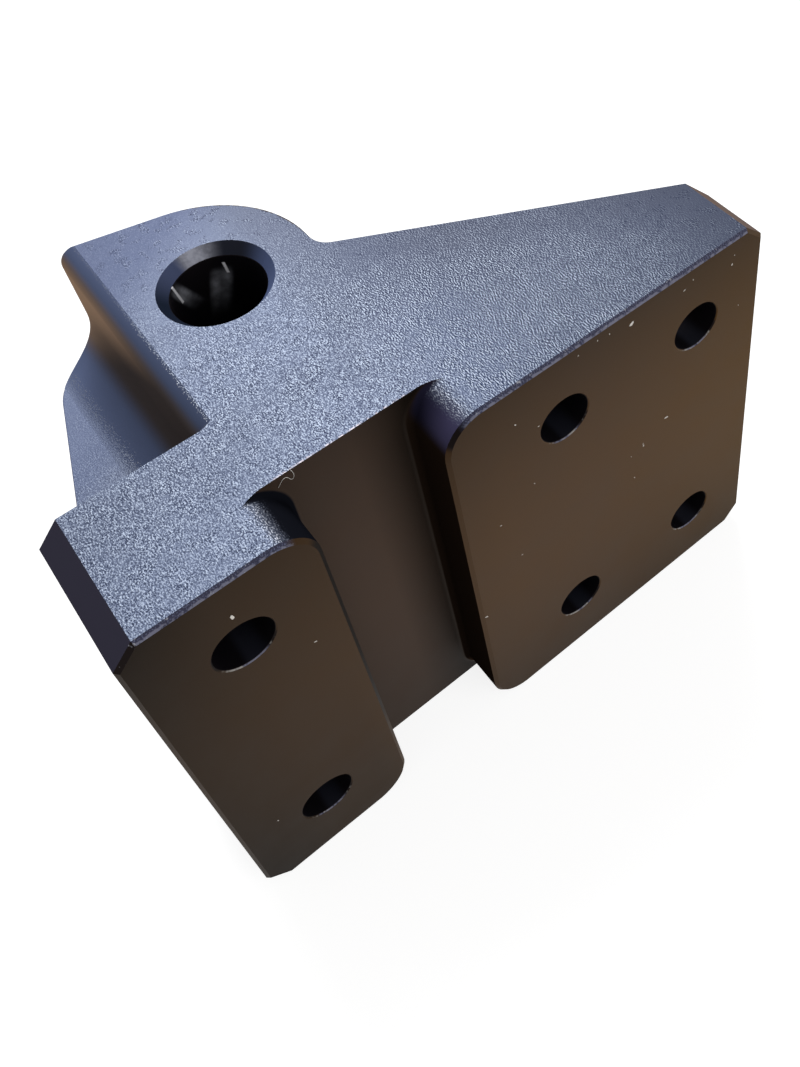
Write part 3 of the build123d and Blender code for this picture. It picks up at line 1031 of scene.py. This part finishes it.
def surroundings(world, strength):
    """Even white surroundings: white where seen or mirrored, and softer as light."""
    world.use_nodes = True
    sheet = Sheet(world.node_tree)
    soft = sheet.add("ShaderNodeBackground", {"Color": WHITE, "Strength": strength})
    shown = sheet.add("ShaderNodeBackground", {"Color": WHITE, "Strength": 1.0})
    mix = sheet.add("ShaderNodeMixShader", {0: seen_mask(sheet), 1: soft.outputs[0], 2: shown.outputs[0]})
    sheet.add("ShaderNodeOutputWorld", {"Surface": mix.outputs[0]})


def softbox(name, place, target, size, power):
    """A square area lamp that looks at a target."""
    data = bpy.data.lights.new(name, "AREA")
    data.size = size
    data.energy = power
    lamp = bpy.data.objects.new(name, data)
    lamp.location = place
    lamp.rotation_euler = (target - place).to_track_quat("-Z", "Y").to_euler()
    bpy.context.scene.collection.objects.link(lamp)


def photo_camera():
    """The photograph's camera, held upright. Its shift brings the optical centre to its place in the frame."""
    data = bpy.data.cameras.new("camera")
    data.sensor_fit = "VERTICAL"
    data.sensor_height = SENSOR_HEIGHT_MM
    data.sensor_width = SENSOR_WIDTH_MM
    data.lens = CAMERA_FOCAL_PX / PICTURE_HEIGHT * SENSOR_HEIGHT_MM
    data.shift_x = (PICTURE_WIDTH / 2 - CAMERA_CENTRE_PX[0]) / PICTURE_HEIGHT
    data.shift_y = (CAMERA_CENTRE_PX[1] - PICTURE_HEIGHT / 2) / PICTURE_HEIGHT
    data.clip_start = CLIP_START
    camera = bpy.data.objects.new("camera", data)
    camera.location = mm(*CAMERA_PLACE_MM)
    camera.rotation_euler = Euler([radians(angle) for angle in CAMERA_TURN_DEG], "XYZ")
    bpy.context.scene.collection.objects.link(camera)
    bpy.context.scene.camera = camera


class BRACKET_OT_stage(bpy.types.Operator):
    """Set the floor, the surroundings, the lamps and the camera"""

    bl_idname = "bracket.stage"
    bl_label = "Set stage"

    def execute(self, context):
        stage = context.scene.bracket_stage
        half = stage.floor_size / 2
        level = CORNER.z
        mesh = bpy.data.meshes.new("floor")
        corners = ((-half, -half), (half, -half), (half, half), (-half, half))
        mesh.from_pydata([(x, y, level) for x, y in corners], [], [(0, 1, 2, 3)])
        mesh.materials.append(floor_material(stage))
        floor = bpy.data.objects.new("floor", mesh)
        context.scene.collection.objects.link(floor)
        world = bpy.data.worlds.new("surroundings")
        context.scene.world = world
        surroundings(world, stage.sky_strength)
        target = mm(*LAMP_TARGET_MM)
        softbox("key", target + Vector(KEY_PLACE), target, KEY_SIZE, stage.key_power)
        softbox("fill", target + Vector(FILL_PLACE), target, FILL_SIZE, stage.fill_power)
        photo_camera()
        context.scene.view_settings.view_transform = "Standard"
        return {"FINISHED"}


class BRACKET_PT_panel(bpy.types.Panel):
    """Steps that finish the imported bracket"""

    bl_label = "Pedal bracket"
    bl_idname = "BRACKET_PT_panel"
    bl_space_type = "VIEW_3D"
    bl_region_type = "UI"
    bl_category = "Bracket"

    def draw(self, context):
        for step, group in STEPS:
            box = self.layout.box()
            settings = getattr(context.scene, group)
            for name in settings.bl_rna.properties.keys():
                if name not in {"name", "rna_type"}:
                    box.prop(settings, name)
            box.operator(step.bl_idname)


STEPS = (
    (BRACKET_OT_anodise, "bracket_finish"),
    (BRACKET_OT_lint, "bracket_lint"),
    (BRACKET_OT_stage, "bracket_stage"),
)
SETTINGS = (
    ("bracket_finish", BracketFinish),
    ("bracket_lint", BracketLint),
    ("bracket_stage", BracketStage),
)


def register():
    """Add the settings, the steps and the panel."""
    for name, group in SETTINGS:
        bpy.utils.register_class(group)
        setattr(bpy.types.Scene, name, bpy.props.PointerProperty(type=group))
    for step, _ in STEPS:
        bpy.utils.register_class(step)
    bpy.utils.register_class(BRACKET_PT_panel)


def unregister():
    """Take them away again, in reverse."""
    bpy.utils.unregister_class(BRACKET_PT_panel)
    for step, _ in reversed(STEPS):
        bpy.utils.unregister_class(step)
    for name, group in reversed(SETTINGS):
        delattr(bpy.types.Scene, name)
        bpy.utils.unregister_class(group)


def main():
    """Finish the block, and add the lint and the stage."""
    register()
    bpy.ops.bracket.anodise()
    bpy.ops.bracket.lint()
    bpy.ops.bracket.stage()
    bpy.context.view_layer.update()


if __name__ == "__main__":
    main()
